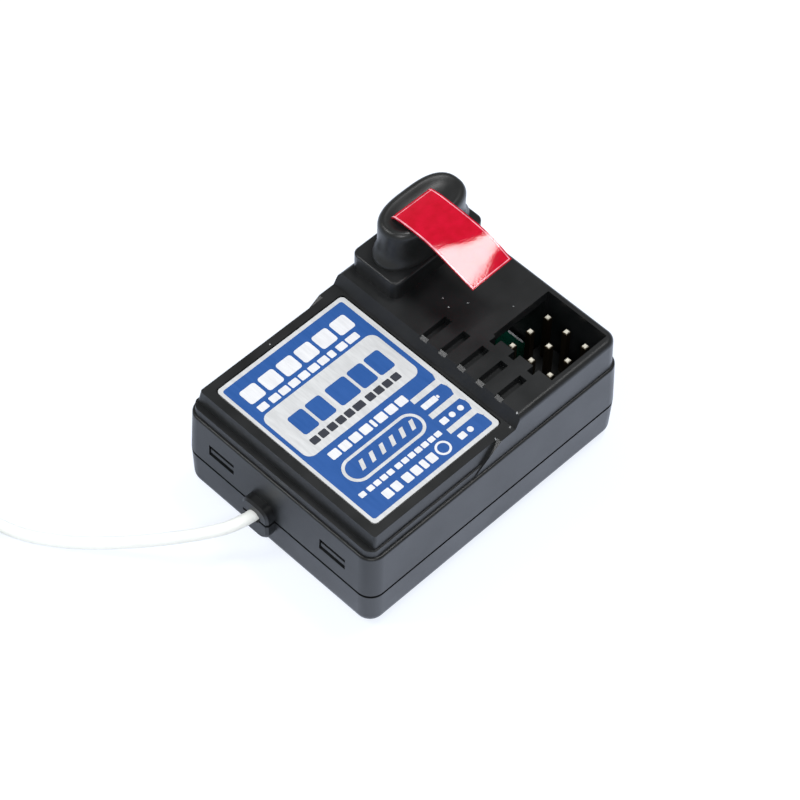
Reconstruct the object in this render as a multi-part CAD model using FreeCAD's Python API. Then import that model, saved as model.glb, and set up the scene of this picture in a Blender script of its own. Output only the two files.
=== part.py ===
import FreeCAD, Part
import math
import os
from FreeCAD import Vector

# Two channel radio control receiver: a two part snapped case with the circuit board between
# the halves, a plug in crystal with its pull tab, nine connector pins and a wire antenna.
# Millimetres. X runs from the antenna end to the connector end, Z is up,
# and the origin is the middle of the underside.

# Case
case_corner = 1.7
joint_height = 5.25
shoulder_height = 11.1
terrace_rise = 0.9
frame_rise = 1.65
plateau_rise = 1.4
case_wall = 1.1
case_floor = 1.2
case_top = 1.2
bottom_draft = 0.15
bottom_round = 1.5
shoulder_draft = 0.18
shoulder_round = 0.25
ledge_width = 0.27
upper_draft = 0.12
plateau_round = 0.6
joint_groove_depth = 0.45
joint_groove_height = 0.36
tray_corner = 0.3
cavity_overlap = 0.1

# Stepped frame round the label
label_length = 17.15
label_width = 21.94
label_end_margin = 2.55
label_side_margin = 2.13
label_thickness = 0.2
label_corner = 0.5
label_gap = 0.13
label_sink = 0.05
rim_width = 1.1
riser_lean = 0.23
terrace_end_width = 0.68
terrace_side_width = 0.2
terrace_lean = 0.08
frame_corner = 0.3
frame_end_setback = 1.6
frame_end_slope = 1.5

# Plateau, with its finger slots
plateau_gap = 0.4
plateau_length = 15.3
plateau_lean = 0.75
slot_count = 5
slot_width = 0.95
slot_length = 3.25
slot_depth = 0.95
slot_floor = 0.8
slot_lip_length = 0.28
slot_lip_drop = 0.16

# Connector pins and their pocket
pin_pitch = 2.54
pin_rows = 3
pin_columns = 3
pin_square = 0.64
pin_top_height = 13.45
pin_tail = 1.1
pin_tip = 0.16
pin_end_margin = 2.79
pin_side_margin = 2.94
header_height = 2.54
pocket_margin = 0.13
key_depth = 0.9
key_width = 0.75
key_offset = 0.72
guide_wall = 0.6
header_notch = 0.4

# Circuit board
board_thickness = 1.6
board_gap = 0.2
board_corner = 0.8
board_post = 1.8
post_gap = 0.1
clamp_corners = [(-1, -1), (-1, 1), (1, 1)]
clamp_overlap = 0.5
hole_gap = 0.06

# Crystal, its boss and its socket
boss_rise = 2.25
boss_length = 12.65
boss_width = 6.3
boss_corner = 0.9
boss_round = 0.25
boss_inset_x = 0.05
boss_inset_y = 0.28
crystal_offset_x = 0.3
crystal_offset_y = -0.1
cap_foot_length = 11.9
cap_foot_width = 5.5
cap_foot_height = 0.4
cap_flare_height = 1.3
cap_length = 10.3
cap_width = 5.2
cap_top_length = 10.15
cap_top_width = 5.05
cap_height = 4.7
cap_bevel = 0.35
cap_bevel_drop = 0.4
cap_rim = 0.85
cap_dish = 0.2
can_length = 8.0
can_width = 3.2
can_height = 8.0
can_flange = 0.4
can_flange_height = 0.6
can_cover = 1.4
can_gap = 0.2
lead_diameter = 0.45
lead_spacing = 3.75
lead_length = 5.0
socket_length = 7.0
socket_width = 3.2
socket_gap = 1.0
socket_corner = 0.5
contact_diameter = 0.9
contact_tail_diameter = 0.5
contact_depth = 5.4
contact_floor = 0.4

# Pull tab
tab_width = 5.35
tab_thickness = 0.2
tab_reach = 11.1
tab_drop = 1.55
tab_root = 0.9
tab_root_offset = 0.75
tab_shift = -0.75
tab_fold = 0.3
tab_sag = [0.18, 0.52, 0.84]

# Latches
latch_width = 3.5
latch_height = 1.5
latch_bottom = 7.05
latch_offset_y = 7.75
far_latch_y = 4.4
latch_gap = 0.12
tongue_thickness = 0.9
tongue_gap = 0.15
tongue_root = 0.5
tongue_tip = 0.4
tongue_bevel = 0.3
nose_gap_below = 0.34
nose_gap_above = 0.5
nose_setback = 0.1
nose_bevel = 0.1

# Antenna wire, its spout in the case, and the coil of its far end
wire_diameter = 1.3
wire_y = 2.0
wire_gap = 0.05
spout_width = 3.65
spout_reach = 1.05
spout_rise = 1.85
spout_fall = 2.8
spout_corner = 1.25
spout_bevel = 0.25
mouth_flare = 0.12
mouth_depth = 0.2
conductor_diameter = 0.6
conductor_length = 2.4
pad_diameter = 2.0
# Points of the antenna beyond the spout's mouth: how far out, how far along the mouth's wall,
# and how much of its fall to the table is done
wire_route = [(1.35, 0, 0), (4.95, 2.85, 0.27), (8.95, 7.5, 0.72), (13.25, 12.7, 1), (16.75, 18.2, 1)]
wire_route_end = (17.35, 24.2)
coil_across = 14.5
coil_turns_wide = 3
tie_width = 1.6
tie_thickness = 0.35

# Parts on the board
can_side = 5.2
tuning_height = 6.4
tuning_wall = 0.3
tuning_corner = 0.5
tuning_count = 3
tuning_gap = 1.2
tuning_margin_x = 1.95
tuning_margin_y = 0.75
tuning_base_height = 1.5
core_diameter = 2.6
core_recess = 0.2
core_slot_width = 0.5
core_slot_depth = 0.6
filter_length = 7.0
filter_width = 3.2
filter_height = 6.0
filter_chamfer = 0.3
chip_length = 10.0
chip_width = 4.0
chip_height = 1.5
chip_standoff = 0.2
chip_pin_pitch = 1.27
chip_pin_width = 0.42
chip_pin_reach = 1.0
chip_pin_knee = 0.4
chip_pin_thickness = 0.18
chip_pins = 8
chip_taper = 0.15
chip_mark_diameter = 1.0
chip_mark_depth = 0.25
chip_margin_x = 1.45
chip_margin_y = 0.1
chip_gap = 0.2
capacitor_diameter = 4.0
capacitor_height = 5.4
capacitor_count = 2
middle_row_start = 3.8
middle_row_gap = 0.4
bung_height = 0.5
bung_inset = 0.3
regulator_diameter = 4.6
regulator_height = 4.6
regulator_flat = 1.5
regulator_leg = 0.45
regulator_leg_height = 1.6
chip_part_length = 2.0
chip_part_width = 1.25
chip_part_height = 0.6
chip_part_pitch = 2.6
chip_part_count = 8

# Worked out from the values above
terrace_height = shoulder_height + terrace_rise
frame_height = terrace_height + frame_rise
plateau_height = frame_height + plateau_rise
case_length = label_end_margin + label_length + plateau_gap + plateau_length
case_width = label_width + 2 * label_side_margin
half_length = case_length / 2
half_width = case_width / 2
label_start_x = -half_length + label_end_margin
label_end_x = label_start_x + label_length
label_centre_x = label_start_x + label_length / 2
label_bottom = frame_height - label_thickness - label_sink
plateau_start_x = label_end_x + plateau_gap
slot_start_x = plateau_start_x + plateau_lean + slot_lip_length
pin_first_x = half_length - pin_end_margin - (pin_columns - 1) * pin_pitch
pin_first_y = -half_width + pin_side_margin
key_first_y = pin_first_y + key_offset
board_top = joint_height - wire_diameter / 2
board_bottom = board_top - board_thickness
board_half_length = half_length - bottom_draft - case_wall - board_gap
board_half_width = half_width - bottom_draft - case_wall - board_gap
shoulder_half_length = half_length - shoulder_draft
shoulder_half_width = half_width - shoulder_draft
upper_half_length = shoulder_half_length - ledge_width
upper_half_width = shoulder_half_width - ledge_width
plateau_half_length = upper_half_length - upper_draft
plateau_half_width = upper_half_width - upper_draft
boss_height = plateau_height + boss_rise
header_top = board_top + header_height
mouth_x = -half_length - spout_reach
block_length = pin_columns * pin_pitch
block_width = pin_rows * pin_pitch
block_centre_x = pin_first_x + (pin_columns - 1) * pin_pitch / 2
block_centre_y = pin_first_y + (pin_rows - 1) * pin_pitch / 2
boss_centre_x = plateau_half_length - boss_inset_x - boss_length / 2
boss_centre_y = plateau_half_width - boss_inset_y - boss_width / 2
crystal_x = boss_centre_x + crystal_offset_x
crystal_y = boss_centre_y + crystal_offset_y
cap_top = boss_height + cap_height
can_top = cap_top - can_cover
can_bottom = can_top - can_height
socket_top = can_bottom - socket_gap
tuning_y = board_half_width - tuning_margin_y - can_side / 2
chip_y = -board_half_width + chip_margin_y + chip_pin_reach + chip_width / 2
middle_low = chip_y + chip_width / 2 + chip_pin_reach
middle_high = tuning_y - can_side / 2
middle_y = (middle_low + middle_high) / 2


def rounded_wire(cx, cy, length, width, z, radius):
    """Closed outline of a rectangle with round corners, level at z."""
    x = length / 2
    y = width / 2
    r = min(radius, x - 0.01, y - 0.01)
    k = r * (1 - math.sqrt(0.5))
    edges = []
    corners = [(1, 1), (-1, 1), (-1, -1), (1, -1)]
    for i, (sx, sy) in enumerate(corners):
        nx, ny = corners[(i + 1) % 4]
        if sx * sy > 0:
            start = Vector(cx + sx * x, cy + sy * (y - r), z)
            end = Vector(cx + sx * (x - r), cy + sy * y, z)
            after = Vector(cx + nx * (x - r), cy + ny * y, z)
        else:
            start = Vector(cx + sx * (x - r), cy + sy * y, z)
            end = Vector(cx + sx * x, cy + sy * (y - r), z)
            after = Vector(cx + nx * x, cy + ny * (y - r), z)
        middle = Vector(cx + sx * (x - k), cy + sy * (y - k), z)
        edges.append(Part.Arc(start, middle, end).toShape())
        edges.append(Part.LineSegment(end, after).toShape())
    return Part.Wire(edges)


def rounded_block(cx, cy, length, width, z0, z1, radius):
    """Upright block with round corners."""
    face = Part.Face(rounded_wire(cx, cy, length, width, z0, radius))
    return face.extrude(Vector(0, 0, z1 - z0))


def tapered_block(lower, z0, upper, z1, radius, centre_x=0, centre_y=0):
    """Block with leaning walls and round corners, of one size at z0 and another at z1."""
    x0 = lower[0] / 2
    y0 = lower[1] / 2
    x1 = upper[0] / 2
    y1 = upper[1] / 2
    block = Part.makeWedge(-x0, z0, -y0, -y1, -x1, x0, z1, y0, y1, x1)
    block.rotate(Vector(0, 0, 0), Vector(1, 0, 0), 90)
    block.translate(Vector(centre_x, centre_y, 0))
    corners = [edge for edge in block.Edges if edge.BoundBox.ZLength > (z1 - z0) / 2]
    return block.makeFillet(radius, corners)


def stadium_wire(cx, cy, length, width, z):
    """Outline with two straight sides and half round ends."""
    x = (length - width) / 2
    r = width / 2
    a = Vector(cx + x, cy - r, z)
    b = Vector(cx + x, cy + r, z)
    c = Vector(cx - x, cy + r, z)
    d = Vector(cx - x, cy - r, z)
    edges = [
        Part.Arc(a, Vector(cx + x + r, cy, z), b).toShape(),
        Part.LineSegment(b, c).toShape(),
        Part.Arc(c, Vector(cx - x - r, cy, z), d).toShape(),
        Part.LineSegment(d, a).toShape(),
    ]
    return Part.Wire(edges)


def stadium_block(cx, cy, length, width, z0, z1):
    """Upright block with half round ends."""
    face = Part.Face(stadium_wire(cx, cy, length, width, z0))
    return face.extrude(Vector(0, 0, z1 - z0))


def box(x0, x1, y0, y1, z0, z1):
    """Plain block between two corners."""
    return Part.makeBox(x1 - x0, y1 - y0, z1 - z0, Vector(x0, y0, z0))


def rod(x, y, z0, z1, diameter):
    """Upright round bar."""
    return Part.makeCylinder(diameter / 2, z1 - z0, Vector(x, y, z0))


def profile_along_y(points, y0, y1):
    """Solid of an outline of (x, z) points, from y0 to y1."""
    ring = [Vector(x, y0, z) for x, z in points]
    ring.append(ring[0])
    return Part.Face(Part.makePolygon(ring)).extrude(Vector(0, y1 - y0, 0))


def mirror_x(shape):
    """The same shape at the other end of the case."""
    return shape.mirror(Vector(0, 0, 0), Vector(1, 0, 0))


def edges_at_height(shape, z):
    """Edges of a solid that lie level at z."""
    found = []
    for edge in shape.Edges:
        low = edge.BoundBox.ZMin
        high = edge.BoundBox.ZMax
        if abs(low - z) < 1e-4 and abs(high - z) < 1e-4:
            found.append(edge)
    return found


def edges_at_x(shape, x):
    """Edges of a solid that lie in the plane of x."""
    found = []
    for edge in shape.Edges:
        low = edge.BoundBox.XMin
        high = edge.BoundBox.XMax
        if abs(low - x) < 1e-4 and abs(high - x) < 1e-4:
            found.append(edge)
    return found


def inner_size(half_x, half_y, inset):
    """Length and width of the case at a half size, less a wall each side."""
    return 2 * (half_x - inset), 2 * (half_y - inset)


def spout_body():
    """Whole antenna spout, of both halves, with a bevelled front edge."""
    root_x = -half_length + case_wall
    middle_z = joint_height + (spout_rise - spout_fall) / 2
    face = Part.Face(rounded_wire(0, 0, spout_rise + spout_fall, spout_width, 0, spout_corner))
    body = face.extrude(Vector(0, 0, root_x - mouth_x))
    body.rotate(Vector(0, 0, 0), Vector(0, 1, 0), 90)
    body.translate(Vector(mouth_x, wire_y, middle_z))
    return body.makeChamfer(spout_bevel, edges_at_x(body, mouth_x))


def spout_half(upper):
    """Part of the spout above or below the joint."""
    z0 = joint_height if upper else 0
    z1 = plateau_height if upper else joint_height
    return spout_body().common(box(-case_length, 0, wire_y - spout_width, wire_y + spout_width, z0, z1))


def wire_bore():
    """Round way for the antenna through the wall and the spout, flared at the mouth."""
    r = wire_diameter / 2 + wire_gap
    length = spout_reach + 3 * case_wall
    mouth = Vector(mouth_x - 0.01, wire_y, joint_height)
    bore = Part.makeCylinder(r, length, mouth, Vector(1, 0, 0))
    flare = Part.makeCone(r + mouth_flare, r, mouth_depth, mouth, Vector(1, 0, 0))
    return bore.fuse(flare)


def bottom_case():
    """Lower half: a tray with board posts, latch tongues and half of the spout."""
    foot = inner_size(half_length, half_width, bottom_draft)
    outer = tapered_block(foot, 0, (case_length, case_width), joint_height, case_corner)
    outer = outer.makeFillet(bottom_round, edges_at_height(outer, 0))
    outer = outer.fuse(spout_half(False)).cut(joint_groove())
    hollow = inner_size(half_length, half_width, bottom_draft + case_wall)
    rim = inner_size(half_length, half_width, case_wall)
    inner_radius = max(case_corner - case_wall, tray_corner)
    tray = tapered_block(hollow, case_floor, rim, joint_height + 0.01, inner_radius)
    shape = outer.cut(tray)
    for sx in (1, -1):
        for sy in (1, -1):
            shape = shape.fuse(board_support(sx, sy))
    for sy in (1, -1):
        shape = shape.fuse(latch_tongue(sy * latch_offset_y))
    shape = shape.fuse(mirror_x(latch_tongue(far_latch_y)))
    return shape.cut(wire_bore()).removeSplitter()


def joint_groove():
    """Groove below the joint, round the case and round its spout."""
    z0 = joint_height - joint_groove_height
    z1 = joint_height + joint_groove_height
    slab = box(-case_length, case_length, -case_width, case_width, z0, z1)
    inside = inner_size(half_length, half_width, joint_groove_depth)
    core = rounded_block(0, 0, inside[0], inside[1], z0, z1, case_corner)
    h = spout_width / 2 - joint_groove_depth
    spout_core = box(mouth_x + joint_groove_depth, 0, wire_y - h, wire_y + h, z0, z1)
    return slab.cut(core.fuse(spout_core))


def board_support(sx, sy):
    """Corner post of the tray that the board stands on."""
    cx = sx * (half_length - case_wall / 2 - board_post / 2)
    cy = sy * (half_width - case_wall / 2 - board_post / 2)
    h = board_post / 2
    post = box(cx - h, cx + h, cy - h, cy + h, case_floor / 2, board_bottom)
    shell = rounded_block(0, 0, case_length - case_wall, case_width - case_wall, 0, joint_height, case_corner)
    return post.common(shell)


def latch_tongue(y):
    """Springy tongue at the antenna end whose nose snaps into a window of the upper half."""
    inner_x = -(half_length - case_wall) + shoulder_draft + tongue_gap
    h = latch_width / 2 - latch_gap
    nose_z0 = latch_bottom + nose_gap_below
    nose_z1 = latch_bottom + latch_height - nose_gap_above
    nose_x = -half_length + shoulder_draft / 2 + nose_setback
    root_z = joint_height - tongue_root
    outline = [
        (-half_length + case_wall / 2, root_z),
        (inner_x + tongue_thickness, root_z),
        (inner_x + tongue_thickness, nose_z1 + tongue_tip),
        (inner_x + tongue_bevel, nose_z1 + tongue_tip),
        (inner_x, nose_z1),
        (nose_x, nose_z1 - nose_bevel),
        (nose_x, nose_z0),
        (inner_x, nose_z0),
        (inner_x, joint_height),
        (-half_length + case_wall / 2, joint_height),
    ]
    return profile_along_y(outline, y - h, y + h)


def frame_tiers():
    """The two stepped tiers that carry the label, wider than the label by the rim."""
    far_x = plateau_start_x + plateau_length / 3
    near_x = label_start_x - rim_width
    top = (far_x - near_x, label_width + 2 * rim_width)
    low = (top[0] + 2 * riser_lean, top[1] + 2 * riser_lean)
    wide = (low[0] + 2 * terrace_end_width, low[1] + 2 * terrace_side_width)
    base = (wide[0] + 2 * terrace_lean, wide[1] + 2 * terrace_lean)

    middle_x = (near_x + far_x) / 2
    upper = tapered_block(low, terrace_height - 0.01, top, frame_height, frame_corner, middle_x)
    lower = tapered_block(base, shoulder_height - 0.01, wide, terrace_height, frame_corner, middle_x)
    return upper.fuse(lower)


def frame_surround():
    """What is cut from the full width block so that the stepped tiers are left."""
    rise = plateau_height - shoulder_height
    end_x = label_end_x - frame_end_setback + frame_end_slope * (plateau_height - frame_height)
    outline = [
        (-case_length, shoulder_height),
        (end_x - frame_end_slope * rise, shoulder_height),
        (end_x, plateau_height),
        (-case_length, plateau_height),
    ]
    wedge = profile_along_y(outline, -case_width, case_width)
    return wedge.cut(frame_tiers())


def upper_block():
    """Full width block above the shoulder, with the plateau at its connector end."""
    base = (2 * upper_half_length, 2 * upper_half_width)
    top = (2 * plateau_half_length, 2 * plateau_half_width)
    corner = case_corner - ledge_width
    block = tapered_block(base, shoulder_height, top, plateau_height, corner)
    block = block.makeFillet(plateau_round, edges_at_height(block, plateau_height))
    outline = [
        (-case_length, shoulder_height - 1),
        (case_length, shoulder_height - 1),
        (case_length, plateau_height + 1),
        (plateau_start_x + plateau_lean + plateau_lean / (plateau_height - frame_height), plateau_height + 1),
        (plateau_start_x, frame_height),
        (-case_length, frame_height),
    ]
    return block.common(profile_along_y(outline, -case_width, case_width))


def crystal_boss():
    """Raised block that the crystal cap stands on."""
    boss = rounded_block(boss_centre_x, boss_centre_y, boss_length, boss_width,
                         plateau_height - case_top, boss_height, boss_corner)
    return boss.makeFillet(boss_round, edges_at_height(boss, boss_height))


def case_cavity():
    """Hollow of the upper half, stepped in under the label and under the plateau."""
    rim = inner_size(half_length, half_width, case_wall)
    shoulder = inner_size(shoulder_half_length, shoulder_half_width, case_wall)
    radius = max(case_corner - case_wall, tray_corner)
    step_z = shoulder_height - case_top
    main = tapered_block(rim, joint_height - 0.01, shoulder, step_z, radius)
    label_ceiling = label_bottom - case_top
    label_half_y = label_width / 2
    plateau_x0 = plateau_start_x + plateau_lean + case_wall
    under_label = box(label_start_x, plateau_x0 + cavity_overlap, -label_half_y, label_half_y,
                      step_z - cavity_overlap, label_ceiling)
    inner_x = plateau_half_length - case_wall
    inner_y = plateau_half_width - case_wall
    plateau_ceiling = plateau_height - case_top
    under_plateau = box(plateau_x0, inner_x, -inner_y, inner_y, step_z - cavity_overlap, plateau_ceiling)
    return main.fuse(under_label).fuse(under_plateau)


def pocket_x0():
    """Edge of the connector pocket on the label's side."""
    return block_centre_x - block_length / 2 - pocket_margin


def guide_block():
    """Wall beside the pins that the plugs slide down, before its keyways are cut."""
    x1 = pocket_x0() + 0.01
    x0 = x1 - key_depth - guide_wall
    y0 = -(half_width - case_wall / 2)
    y1 = block_centre_y + block_width / 2 + pocket_margin
    return box(x0, x1, y0, y1, header_top + post_gap, plateau_height - case_top / 2)


def connector_pocket():
    """Opening over the pins, with a keyway for each plug."""
    x0 = pocket_x0()
    x1 = block_centre_x + block_length / 2 + pocket_margin
    y0 = block_centre_y - block_width / 2 - pocket_margin
    y1 = block_centre_y + block_width / 2 + pocket_margin
    shape = box(x0, x1, y0, y1, header_top, plateau_height + 1)
    for row in range(pin_rows):
        y = key_first_y + row * pin_pitch
        key = box(x0 - key_depth, x0 + 0.1, y - key_width / 2, y + key_width / 2, header_top,
                  plateau_height + 1)
        shape = shape.fuse(key)
    return shape


def finger_slots():
    """Row of shallow slots in the plateau, each with a sloped lip, one pitch apart like the keyways."""
    x0 = slot_start_x
    lip_x = x0 - 2 * slot_lip_length
    outline = [
        (x0, plateau_height),
        (lip_x, plateau_height - 2 * slot_lip_drop),
        (lip_x, plateau_height + 1),
        (x0 + slot_length, plateau_height + 1),
        (x0 + slot_length, plateau_height - slot_depth),
        (x0, plateau_height - slot_depth),
    ]
    slots = []
    for i in range(slot_count):
        y = key_first_y + i * pin_pitch
        slots.append(profile_along_y(outline, y - slot_width / 2, y + slot_width / 2))
    return slots


def slot_backing():
    """Thicker stretch of the ceiling that the slots are sunk in."""
    x0 = plateau_start_x + plateau_lean + case_wall / 2
    x1 = slot_start_x + slot_length + slot_floor
    y0 = key_first_y - slot_width / 2 - slot_floor
    y1 = key_first_y + (slot_count - 1) * pin_pitch + slot_width / 2 + slot_floor
    z0 = plateau_height - slot_depth - slot_floor
    return box(x0, x1, y0, y1, z0, plateau_height - case_top / 2)


def latch_window(y):
    """Window of the antenna end wall that a tongue's nose snaps into."""
    h = latch_width / 2
    return box(-half_length - 1, -half_length + 2 * case_wall, y - h, y + h,
               latch_bottom, latch_bottom + latch_height)


def board_clamp(sx, sy):
    """Corner rib of the upper half that holds the board down."""
    x = sx * (half_length - case_wall - board_gap - post_gap)
    y = sy * (half_width - case_wall - board_gap - post_gap)
    x0, x1 = sorted((x, x - sx * board_post))
    y0, y1 = sorted((y, y - sy * board_post / 2))
    rib = box(x0, x1, y0, y1, board_top, joint_height + clamp_overlap)
    wall_x = sx * (half_length - case_wall / 2)
    wall_y = sy * (half_width - case_wall / 2)
    x0, x1 = sorted((wall_x, x - sx * board_post))
    y0, y1 = sorted((wall_y, y - sy * board_post / 2))
    web = box(x0, x1, y0, y1, joint_height + 0.01, shoulder_height - case_top / 2)
    outer = rounded_block(0, 0, case_length - case_wall, case_width - case_wall, 0, shoulder_height, case_corner)
    return rib.fuse(web.common(outer))


def top_case():
    """Upper half, with the stepped label frame, the plateau, its pocket and the crystal boss."""
    shoulder = (2 * shoulder_half_length, 2 * shoulder_half_width)
    lower = tapered_block((case_length, case_width), joint_height, shoulder, shoulder_height, case_corner)
    lower = lower.makeFillet(shoulder_round, edges_at_height(lower, shoulder_height))
    outer = lower.fuse(upper_block().cut(frame_surround()))
    outer = outer.fuse(spout_half(True)).fuse(crystal_boss())
    recess = rounded_block(label_centre_x, 0, label_length + 2 * label_gap, label_width + 2 * label_gap,
                           label_bottom, frame_height + 1, label_corner)
    outer = outer.cut(recess)
    shape = outer.cut(case_cavity())
    shape = shape.fuse(guide_block()).fuse(slot_backing())
    shape = shape.cut(connector_pocket())
    for slot in finger_slots():
        shape = shape.cut(slot)
    for sy in (1, -1):
        shape = shape.cut(latch_window(sy * latch_offset_y))
    shape = shape.cut(mirror_x(latch_window(far_latch_y)))
    for sx, sy in clamp_corners:
        shape = shape.fuse(board_clamp(sx, sy))
    hole = stadium_block(crystal_x, crystal_y, can_length + 2 * can_flange + 2 * can_gap,
                         can_width + 2 * can_flange + 2 * can_gap, plateau_height - 2 * case_top,
                         boss_height + 1)
    return shape.cut(hole).cut(wire_bore()).removeSplitter()


def label_plate():
    """Foil label that lies in the recess of the frame."""
    top = label_bottom + label_thickness
    return rounded_block(label_centre_x, 0, label_length, label_width, label_bottom, top, label_corner)


def circuit_board():
    """Board between the halves, drilled for the pins and the crystal socket."""
    board = rounded_block(0, 0, 2 * board_half_length, 2 * board_half_width, board_bottom, board_top,
                          board_corner)
    h = pin_square / 2
    for x, y in pin_places():
        board = board.cut(box(x - h, x + h, y - h, y + h, board_bottom - 1, board_top + 1))
    for x, y in contact_places():
        board = board.cut(rod(x, y, board_bottom - 1, board_top + 1, contact_tail_diameter + 2 * hole_gap))
    return board


def pin_places():
    """Centres of the nine connector pins."""
    places = []
    for row in range(pin_rows):
        for column in range(pin_columns):
            places.append((pin_first_x + column * pin_pitch, pin_first_y + row * pin_pitch))
    return places


def contact_places():
    """Centres of the two crystal contacts."""
    return [(crystal_x + side * lead_spacing / 2, crystal_y) for side in (-1, 1)]


def header_block():
    """Plastic body that the connector pins are pressed into."""
    block = box(block_centre_x - block_length / 2, block_centre_x + block_length / 2,
                block_centre_y - block_width / 2, block_centre_y + block_width / 2, board_top, header_top)
    notch = header_notch
    for column in range(1, pin_columns):
        x = block_centre_x - block_length / 2 + column * pin_pitch
        for sy in (1, -1):
            y = block_centre_y + sy * block_width / 2
            groove = box(x - notch / 2, x + notch / 2, y - notch / 2, y + notch / 2, board_top - 1, header_top + 1)
            block = block.cut(groove)
    h = pin_square / 2
    for x, y in pin_places():
        block = block.cut(box(x - h, x + h, y - h, y + h, board_top - 1, header_top + 1))
    return block


def pin_row(row):
    """The three pins of one connector, from their solder tails to their tapered tips."""
    h = pin_square / 2
    t = h - pin_tip
    z0 = board_bottom - pin_tail
    pins = []
    for column in range(pin_columns):
        x = pin_first_x + column * pin_pitch
        y = pin_first_y + row * pin_pitch
        shaft = box(x - h, x + h, y - h, y + h, z0, pin_top_height - pin_tip)
        tip = Part.makeLoft([
            Part.makePolygon([Vector(x - h, y - h, pin_top_height - pin_tip),
                              Vector(x + h, y - h, pin_top_height - pin_tip),
                              Vector(x + h, y + h, pin_top_height - pin_tip),
                              Vector(x - h, y + h, pin_top_height - pin_tip),
                              Vector(x - h, y - h, pin_top_height - pin_tip)]),
            Part.makePolygon([Vector(x - t, y - t, pin_top_height),
                              Vector(x + t, y - t, pin_top_height),
                              Vector(x + t, y + t, pin_top_height),
                              Vector(x - t, y + t, pin_top_height),
                              Vector(x - t, y - t, pin_top_height)]),
        ], True, True)
        pins.append(shaft.fuse(tip).removeSplitter())
    return Part.makeCompound(pins)


def crystal_cap():
    """Moulded cap with a flared foot, a dished top and a slit for the pull tab."""
    x = crystal_x
    y = crystal_y
    flare_z = boss_height + cap_foot_height + cap_flare_height
    bevel_z = cap_top - cap_bevel_drop
    cap = Part.makeLoft([
        stadium_wire(x, y, cap_foot_length, cap_foot_width, boss_height),
        stadium_wire(x, y, cap_foot_length, cap_foot_width, boss_height + cap_foot_height),
        stadium_wire(x, y, cap_length, cap_width, flare_z),
        stadium_wire(x, y, cap_top_length, cap_top_width, bevel_z),
        stadium_wire(x, y, cap_top_length - 2 * cap_bevel, cap_top_width - 2 * cap_bevel, cap_top),
    ], True, True)
    dish = stadium_block(x, y, cap_top_length - 2 * cap_rim, cap_top_width - 2 * cap_rim,
                         cap_top - cap_dish, cap_top + 1)
    hollow = stadium_block(x, y, can_length, can_width, boss_height - 1, can_top)
    slit_y = y + tab_root_offset
    slit = box(x + tab_shift - tab_width / 2, x + tab_shift + tab_width / 2, slit_y, slit_y + tab_thickness,
               cap_top - cap_dish - tab_root, cap_top)
    return cap.cut(dish).cut(hollow).cut(slit)


def crystal_can():
    """Sealed metal can of the crystal, with the flange at its base."""
    can = stadium_block(crystal_x, crystal_y, can_length, can_width, can_bottom, can_top)
    flange = stadium_block(crystal_x, crystal_y, can_length + 2 * can_flange, can_width + 2 * can_flange,
                           can_bottom, can_bottom + can_flange_height)
    return can.fuse(flange)


def crystal_leads():
    """Two plug in leads of the crystal."""
    leads = [rod(x, y, can_bottom - lead_length, can_bottom, lead_diameter) for x, y in contact_places()]
    return Part.makeCompound(leads)


def crystal_socket():
    """Upright socket that takes the crystal's leads."""
    block = rounded_block(crystal_x, crystal_y, socket_length, socket_width, board_top, socket_top,
                          socket_corner)
    for x, y in contact_places():
        block = block.cut(rod(x, y, socket_top - contact_depth, socket_top + 1, contact_diameter))
        block = block.cut(rod(x, y, board_top - 1, socket_top, contact_tail_diameter))
    return block


def socket_contacts():
    """Sprung sleeves of the socket, each with a tail through the board."""
    contacts = []
    for x, y in contact_places():
        sleeve_z = socket_top - contact_depth
        sleeve = rod(x, y, sleeve_z, socket_top, contact_diameter)
        bore = rod(x, y, sleeve_z + contact_floor, socket_top + 1, lead_diameter)
        tail = rod(x, y, board_bottom - pin_tail, sleeve_z + contact_floor / 2, contact_tail_diameter)
        contacts.append(sleeve.fuse(tail).cut(bore))
    return Part.makeCompound(contacts)


def pull_tab():
    """Strip held in the cap's slit, folded flat over the top and curling down at its free end."""
    x0 = crystal_x + tab_shift - tab_width / 2
    root_y = crystal_y + tab_root_offset
    t = tab_thickness
    r = tab_fold
    z = cap_top
    edge_y = crystal_y - cap_top_width / 2
    end_y = root_y - tab_reach

    def at(y, height):
        return Vector(x0, y, height)

    def sag_line(lift):
        middle_y = (edge_y + end_y) / 2
        quarter_y = (edge_y + middle_y) / 2
        last_y = (end_y + middle_y) / 2
        curve = Part.BSplineCurve()
        points = [
            at(edge_y, z + lift),
            at(quarter_y, z + lift - tab_sag[0] * tab_drop),
            at(middle_y, z + lift - tab_sag[1] * tab_drop),
            at(last_y, z + lift - tab_sag[2] * tab_drop),
            at(end_y, z + lift - tab_drop),
        ]
        curve.interpolate(points)
        return curve.toShape()

    inner_end = z - cap_dish - tab_root
    k = math.sqrt(0.5)
    fold = Part.Arc(at(root_y + t, z + t - r), at(root_y + t - r + r * k, z + t - r + r * k), at(root_y + t - r, z + t))
    edges = [
        Part.LineSegment(at(root_y, z), at(root_y, inner_end)).toShape(),
        Part.LineSegment(at(root_y, inner_end), at(root_y + t, inner_end)).toShape(),
        Part.LineSegment(at(root_y + t, inner_end), at(root_y + t, z + t - r)).toShape(),
        fold.toShape(),
        Part.LineSegment(at(root_y + t - r, z + t), at(edge_y, z + t)).toShape(),
        sag_line(t),
        Part.LineSegment(at(end_y, z + t - tab_drop), at(end_y, z - tab_drop)).toShape(),
        sag_line(0),
        Part.LineSegment(at(edge_y, z), at(root_y, z)).toShape(),
    ]
    outline = Part.Wire(Part.__sortEdges__(edges))
    return Part.Face(outline).extrude(Vector(tab_width, 0, 0))


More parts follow.
